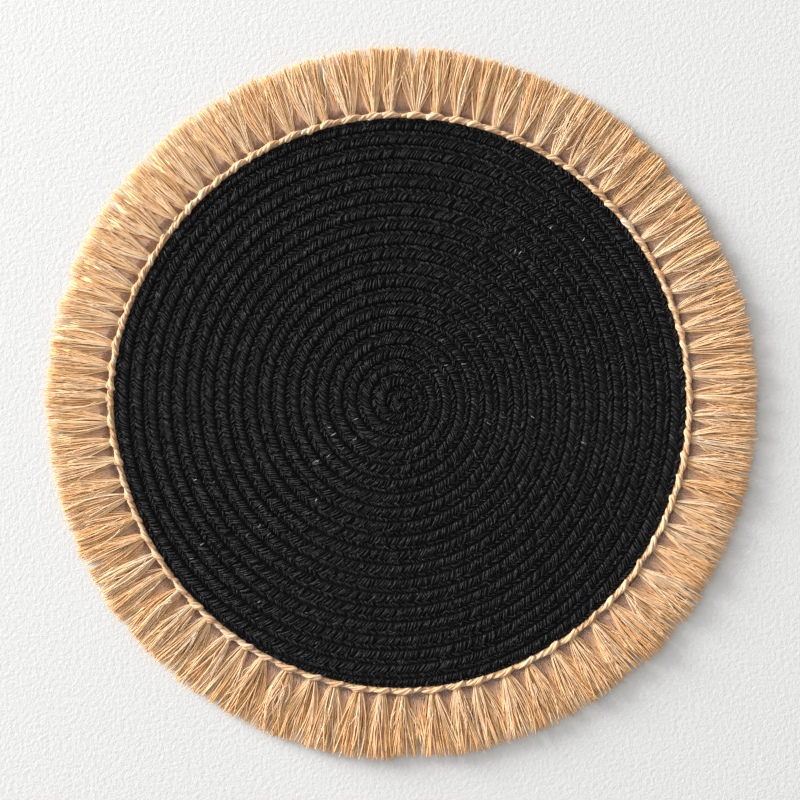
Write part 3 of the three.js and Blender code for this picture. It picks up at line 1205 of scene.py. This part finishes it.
class PLACEMAT_OT_shade_fibres(bpy.types.Operator):
    """Spreads duller fibres low in the gaps between the tassels, as painted shade where the floor there
    lies in shade
    """

    bl_idname = "placemat.low_fibres"
    bl_label = "Shade fibres"

    def execute(self, context):
        coil = context.scene.placemat_coil
        trim = context.scene.placemat_trim
        rng = np.random.default_rng(51)
        each = 30
        # Beyond 1, the slots lie over the neighbours and the gaps
        widest_slot = 4.2
        flatness = 0.14
        rows = trim.tassels * each
        tassel = np.repeat(np.arange(trim.tassels), each)
        q = np.linspace(0, 1, 6)[None]
        slot = np.tile(np.linspace(-widest_slot, widest_slot, each), trim.tassels)[:, None]
        slot = slot + rng.normal(0, 0.08, (rows, 1))
        slot = slot * (1 - 0.75 * (1 - (1 - q) ** 2.6))
        spread = rng.normal(0, 0.5 * MM, (rows, 1)) * q
        reach = trim.tip_radius - rng.uniform(0, 9, (rows, 1)) * MM
        height = rng.uniform(0.35, 0.45, (rows, 1)) + 1.0 * (1 - smoothstep(q / 0.25))
        lift = tip_lift(tassel_angles(trim)[tassel])[:, None]
        height = (height + rng.uniform(1.6, 3.3, (rows, 1)) * lift * q ** 2) * MM
        line = fan_lines(coil, trim, q, tassel, slot, spread, reach, height)
        half = 0.62 * MM * rng.uniform(0.8, 1.2, (rows, 1)) + 0 * q
        tones = rng.uniform(0.40, 0.52, rows)
        material = shade_fibre_material(context)
        # Flat brown fibres: painted shade filling the gaps between the tassels
        make_strands("low_fibres", line, half, flatness * half, tones, material)
        return {"FINISHED"}


class PLACEMAT_OT_loose_fibres(bpy.types.Operator):
    """Lets a few fine pale fibres stray over the tassels"""

    bl_idname = "placemat.loose_fibres"
    bl_label = "Loose fibres"

    def execute(self, context):
        coil = context.scene.placemat_coil
        trim = context.scene.placemat_trim
        rng = np.random.default_rng(41)
        count = trim.tassels * 3
        q = np.linspace(0, 1, 9)[None]
        tassel = rng.choice(tassel_angles(trim), count)[:, None]
        start = rng.uniform(1, 10, (count, 1)) * MM
        length = rng.uniform(10, 20, (count, 1)) * MM
        # A fibre starts beside a tassel's middle, heads out as the fan there does, and curls by a sine
        aside = rng.uniform(-3, 3, (count, 1)) * (1 + start / (14 * MM)) * MM
        heading = aside * 0.06 / MM + rng.normal(0, 0.16, (count, 1))
        curl = rng.normal(0, 1.2 * MM, (count, 1)) * np.sin(np.pi * q)
        out = start + length * q * np.cos(heading)
        aside = aside + length * q * np.sin(heading) + curl
        height = rng.uniform(3.6, 5.0, (count, 1)) * (0.5 + 0.5 * tip_lift(tassel))
        height = (height + 0.8 * np.sin(np.pi * q)) * MM
        radius = rim_radius(coil, tassel) + trim.gap + trim.chain_width + out
        radius = np.minimum(radius, trim.tip_radius + 0.5 * MM)
        line = polar(radius, tassel + aside / radius, height)
        half = (0.21 - 0.06 * q) * MM + 0 * radius
        tones = rng.uniform(0.75, 1.0, count)
        material = natural_yarn_material(context)
        make_strands("loose_fibres", line, half, half, tones, material)
        return {"FINISHED"}


# The studio


class PLACEMAT_OT_studio(bpy.types.Operator):
    """Sets the floor, the soft light and the camera that looks straight down"""

    bl_idname = "placemat.studio"
    bl_label = "Studio"

    def execute(self, context):
        scene = context.scene
        floor_mesh = bpy.data.meshes.new("floor")
        edge = 3.0
        corners = [(-edge, -edge, 0), (edge, -edge, 0), (edge, edge, 0), (-edge, edge, 0)]
        floor_mesh.from_pydata(corners, [], [(0, 1, 2, 3)])
        floor_mesh.materials.append(floor_material(context))
        floor = bpy.data.objects.new("floor", floor_mesh)
        scene.collection.objects.link(floor)

        albedo = 0.64
        distance = 6.0
        # name, azimuth and elevation in degrees, size in metres, and how bright it alone makes the
        # floor, from 0 to 1
        lights = (
            ("soft_window", 150, 15, 2.7, 0.36),
            ("wide_wall", 155, 40, 8.0, 0.23),
        )
        for name, azimuth, elevation, size, share in lights:
            high = np.radians(elevation)
            light_data = bpy.data.lights.new(name, "AREA")
            light_data.shape = "DISK"
            light_data.size = size
            light_data.energy = share * np.pi ** 2 * distance ** 2 / (albedo * np.sin(high))
            light = bpy.data.objects.new(name, light_data)
            light.location = polar(distance * np.cos(high), np.radians(azimuth), distance * np.sin(high))
            light.rotation_mode = "QUATERNION"
            light.rotation_quaternion = light.location.to_track_quat("Z", "Y")
            scene.collection.objects.link(light)

        world = bpy.data.worlds.new("soft_room")
        world.use_nodes = True
        background = world.node_tree.nodes["Background"]
        background.inputs["Color"].default_value = (1.0, 0.995, 0.985, 1)
        background.inputs["Strength"].default_value = 0.54
        scene.world = world

        # The photo's width in metres at mid height of the mat, and the mat's place in it
        frame_width = 0.4294
        mid_height = 2 * MM
        camera_data = bpy.data.cameras.new("camera")
        camera_data.lens = 90.0
        camera_data.sensor_width = 36.0
        far = frame_width * camera_data.lens / camera_data.sensor_width
        camera = bpy.data.objects.new("camera", camera_data)
        camera.location = (-0.75 * MM, 1.61 * MM, far + mid_height)
        scene.collection.objects.link(camera)
        scene.camera = camera
        scene.view_settings.view_transform = "Standard"
        return {"FINISHED"}


class PLACEMAT_OT_declare(bpy.types.Operator):
    """An empty step: it changes nothing in the scene"""

    bl_idname = "placemat.declare"
    bl_label = "Declare the sheet"

    def execute(self, context):
        return {"FINISHED"}


OPERATORS = (
    PLACEMAT_OT_coil_body,
    PLACEMAT_OT_plait,
    PLACEMAT_OT_plait_underside,
    PLACEMAT_OT_plait_wisps,
    PLACEMAT_OT_painted_glints,
    PLACEMAT_OT_trim_binding,
    PLACEMAT_OT_chain_edge,
    PLACEMAT_OT_tassels,
    PLACEMAT_OT_shade_fibres,
    PLACEMAT_OT_loose_fibres,
    PLACEMAT_OT_declare,
    PLACEMAT_OT_studio,
)


class PLACEMAT_PT_panel(bpy.types.Panel):
    """Lists the pieces of the placemat, with their sizes and colours"""

    bl_idname = "PLACEMAT_PT_panel"
    bl_label = "Placemat"
    bl_space_type = "VIEW_3D"
    bl_region_type = "UI"
    bl_category = "Placemat"

    def draw(self, context):
        scene = context.scene
        for group in (scene.placemat_coil, scene.placemat_trim, scene.placemat_colours):
            box = self.layout.box()
            for name in group.__annotations__:
                box.prop(group, name)
        for operator in OPERATORS:
            self.layout.operator(operator.bl_idname)


CLASSES = (PlacematCoil, PlacematTrim, PlacematColours, *OPERATORS, PLACEMAT_PT_panel)


def register():
    for each in CLASSES:
        bpy.utils.register_class(each)
    bpy.types.Scene.placemat_coil = bpy.props.PointerProperty(type=PlacematCoil)
    bpy.types.Scene.placemat_trim = bpy.props.PointerProperty(type=PlacematTrim)
    bpy.types.Scene.placemat_colours = bpy.props.PointerProperty(type=PlacematColours)


def unregister():
    del bpy.types.Scene.placemat_colours
    del bpy.types.Scene.placemat_trim
    del bpy.types.Scene.placemat_coil
    for each in reversed(CLASSES):
        bpy.utils.unregister_class(each)


def main():
    """Makes every piece in order."""
    register()
    bpy.ops.placemat.coil_body()
    bpy.ops.placemat.plait()
    bpy.ops.placemat.plait_underside()
    bpy.ops.placemat.plait_wisps()
    bpy.ops.placemat.bright_ends()
    bpy.ops.placemat.trim_binding()
    bpy.ops.placemat.chain_edge()
    bpy.ops.placemat.tassels()
    bpy.ops.placemat.low_fibres()
    bpy.ops.placemat.loose_fibres()
    bpy.ops.placemat.declare()
    bpy.ops.placemat.studio()


if __name__ == "__main__":
    main()
